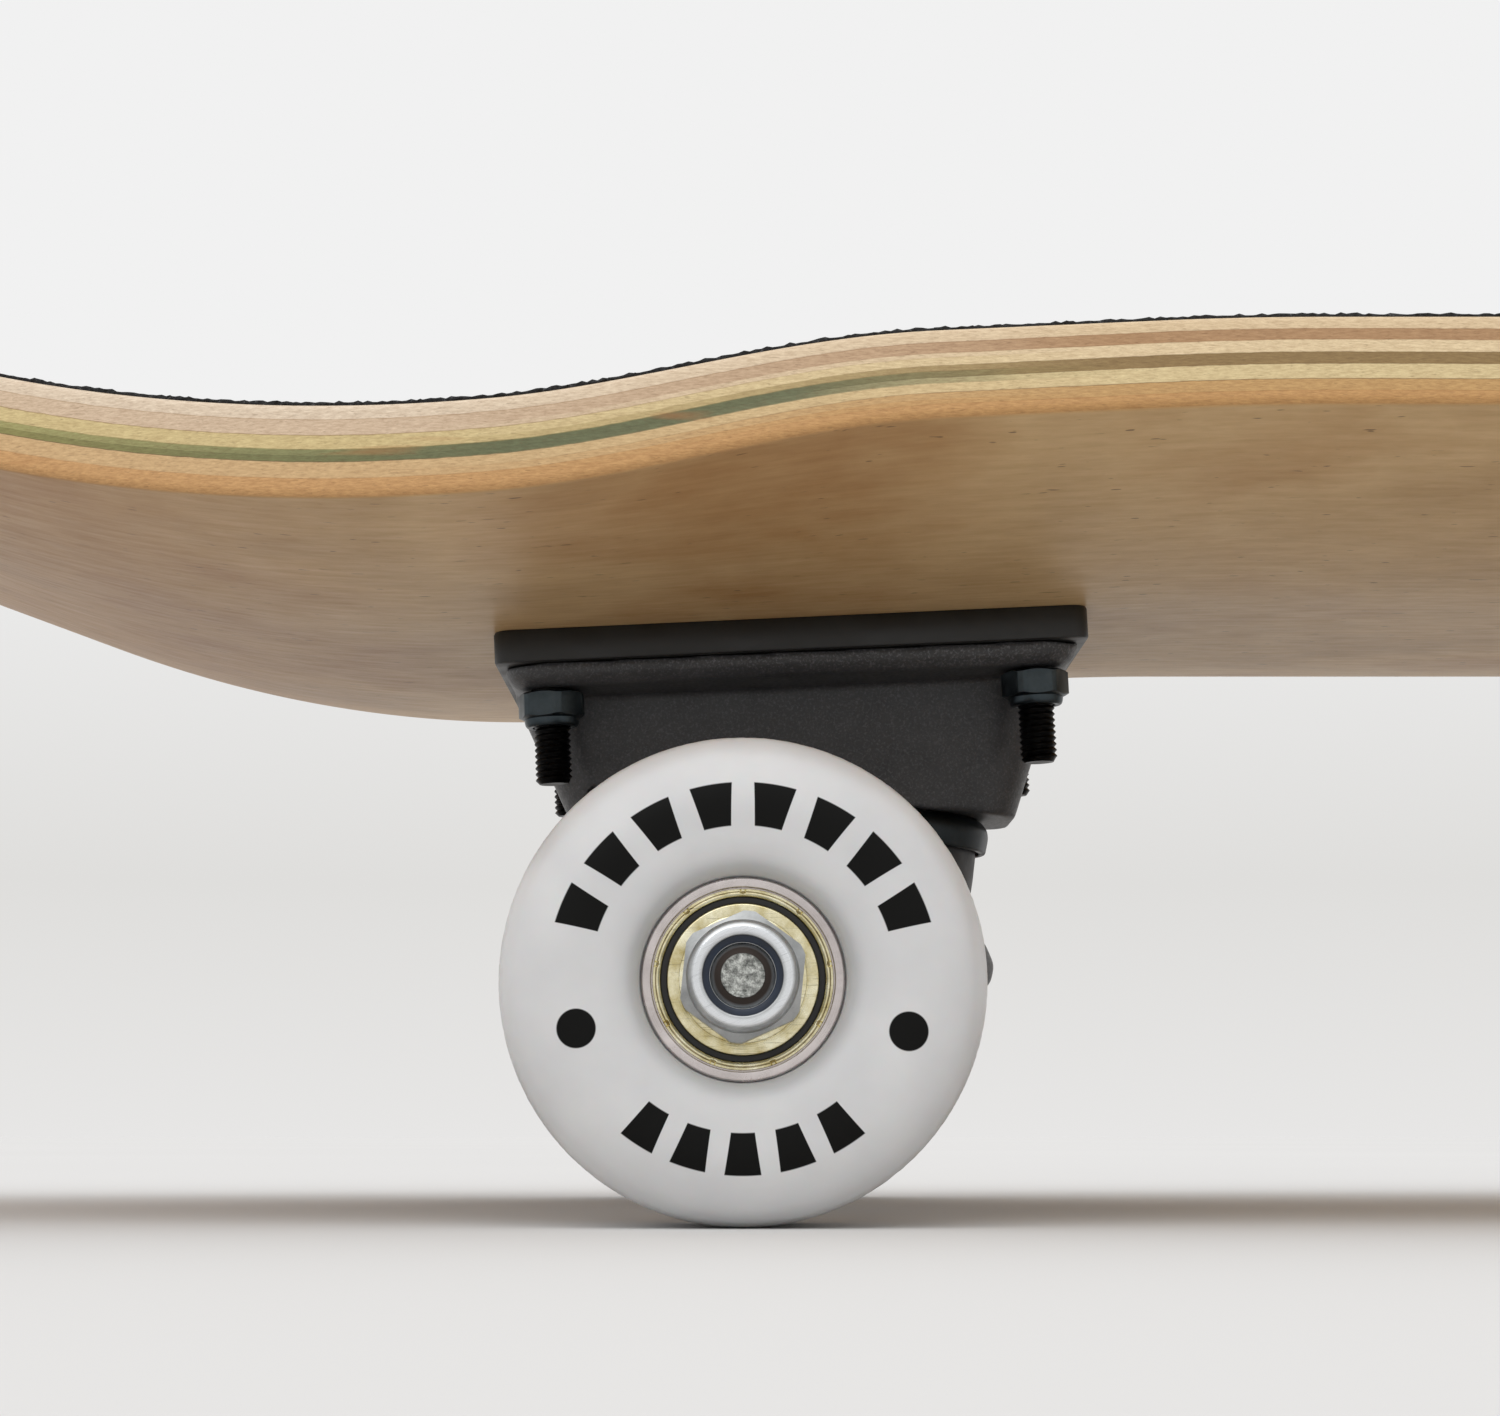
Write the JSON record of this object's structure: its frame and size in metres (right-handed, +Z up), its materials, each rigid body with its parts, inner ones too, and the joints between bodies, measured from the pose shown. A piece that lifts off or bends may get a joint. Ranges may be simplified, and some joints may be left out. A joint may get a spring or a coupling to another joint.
{
  "type": "skateboard",
  "caption": "Popsicle skateboard: laminated maple deck with kicked ends and grip sheet, on two kingpin trucks that steer when the board leans, with freely rolling white wheels.",
  "frame": {"origin": "on the floor, under the middle of the board", "axes": "+X along the board from the nose to the tail, +Z up, -Y to the side seen in the picture"},
  "size_m": [0.8028, 0.1988, 0.1275],
  "materials": {
    "maple": "lightly sealed hard maple, semi-gloss, ply layers showing along the edge",
    "grip": "black abrasive grit on a thin sheet",
    "riser_plastic": "smooth black moulded plastic, satin",
    "cast_alloy": "cast aluminium, textured dark grey coating",
    "black_steel": "black oxide",
    "dark_zinc": "dark blue-grey zinc plating",
    "bushing_rubber": "cast urethane, satin",
    "bright_zinc": "bright zinc plating",
    "bearing_steel": "ground bearing steel with yellow-zinc shields",
    "urethane": "cast white urethane, soft gloss, slightly worn tread"
  },
  "bodies": {
    "board": {"deck": "maple", "grip_tape": "grip", "nose_riser_pad": "riser_plastic", "nose_deck_bolt_1": "black_steel", "nose_deck_bolt_2": "black_steel", "nose_deck_bolt_3": "black_steel", "nose_deck_bolt_4": "black_steel", "nose_deck_nut_1": "dark_zinc", "nose_deck_nut_2": "dark_zinc", "nose_deck_nut_3": "dark_zinc", "nose_deck_nut_4": "dark_zinc", "nose_baseplate": "cast_alloy", "nose_pivot_cup": "riser_plastic", "nose_kingpin": "black_steel", "nose_kingpin_nut": "dark_zinc", "nose_cup_washer": "dark_zinc", "nose_boardside_bushing": "bushing_rubber", "nose_roadside_bushing": "bushing_rubber", "nose_roadside_washer": "dark_zinc", "tail_riser_pad": "riser_plastic", "tail_deck_bolt_1": "black_steel", "tail_deck_bolt_2": "black_steel", "tail_deck_bolt_3": "black_steel", "tail_deck_bolt_4": "black_steel", "tail_deck_nut_1": "dark_zinc", "tail_deck_nut_2": "dark_zinc", "tail_deck_nut_3": "dark_zinc", "tail_deck_nut_4": "dark_zinc", "tail_baseplate": "cast_alloy", "tail_pivot_cup": "riser_plastic", "tail_kingpin": "black_steel", "tail_kingpin_nut": "dark_zinc", "tail_cup_washer": "dark_zinc", "tail_boardside_bushing": "bushing_rubber", "tail_roadside_bushing": "bushing_rubber", "tail_roadside_washer": "dark_zinc"},
    "nose_steering": {"nose_hanger": "cast_alloy", "nose_axle": "bright_zinc", "nose_left_inner_races": "bearing_steel", "nose_left_axle_nut": "bright_zinc", "nose_right_inner_races": "bearing_steel", "nose_right_axle_nut": "bright_zinc"},
    "nose_left_rolling": {"nose_left_wheel": "urethane", "nose_left_inner_bearing_ring": "bearing_steel", "nose_left_outer_bearing_ring": "bearing_steel"},
    "nose_right_rolling": {"nose_right_wheel": "urethane", "nose_right_inner_bearing_ring": "bearing_steel", "nose_right_outer_bearing_ring": "bearing_steel"},
    "tail_steering": {"tail_hanger": "cast_alloy", "tail_axle": "bright_zinc", "tail_left_inner_races": "bearing_steel", "tail_left_axle_nut": "bright_zinc", "tail_right_inner_races": "bearing_steel", "tail_right_axle_nut": "bright_zinc"},
    "tail_left_rolling": {"tail_left_wheel": "urethane", "tail_left_inner_bearing_ring": "bearing_steel", "tail_left_outer_bearing_ring": "bearing_steel"},
    "tail_right_rolling": {"tail_right_wheel": "urethane", "tail_right_inner_bearing_ring": "bearing_steel", "tail_right_outer_bearing_ring": "bearing_steel"}
  },
  "joints": [
    {"name": "nose_steer", "type": "hinge", "parent": "board", "child": "nose_steering", "pos_m": [-0.19768, 0, 0.03384], "axis": [-0.8141, 0, 0.5807], "range_deg": [-12, 12], "stiffness_Nm_per_rad": 40, "deforming": ["nose_boardside_bushing", "nose_roadside_bushing"]},
    {"name": "nose_left_spin", "type": "hinge", "parent": "nose_steering", "child": "nose_left_rolling", "pos_m": [-0.21575, -0.0795, 0.0265], "axis": [0, 1, 0], "continuous": true},
    {"name": "nose_right_spin", "type": "hinge", "parent": "nose_steering", "child": "nose_right_rolling", "pos_m": [-0.21575, 0.0795, 0.0265], "axis": [0, 1, 0], "continuous": true},
    {"name": "tail_steer", "type": "hinge", "parent": "board", "child": "tail_steering", "pos_m": [0.19768, 0, 0.03384], "axis": [0.8141, 0, 0.5807], "range_deg": [-12, 12], "stiffness_Nm_per_rad": 40, "deforming": ["tail_boardside_bushing", "tail_roadside_bushing"]},
    {"name": "tail_left_spin", "type": "hinge", "parent": "tail_steering", "child": "tail_left_rolling", "pos_m": [0.21575, -0.0795, 0.0265], "axis": [0, 1, 0], "continuous": true},
    {"name": "tail_right_spin", "type": "hinge", "parent": "tail_steering", "child": "tail_right_rolling", "pos_m": [0.21575, 0.0795, 0.0265], "axis": [0, 1, 0], "continuous": true}
  ]
}
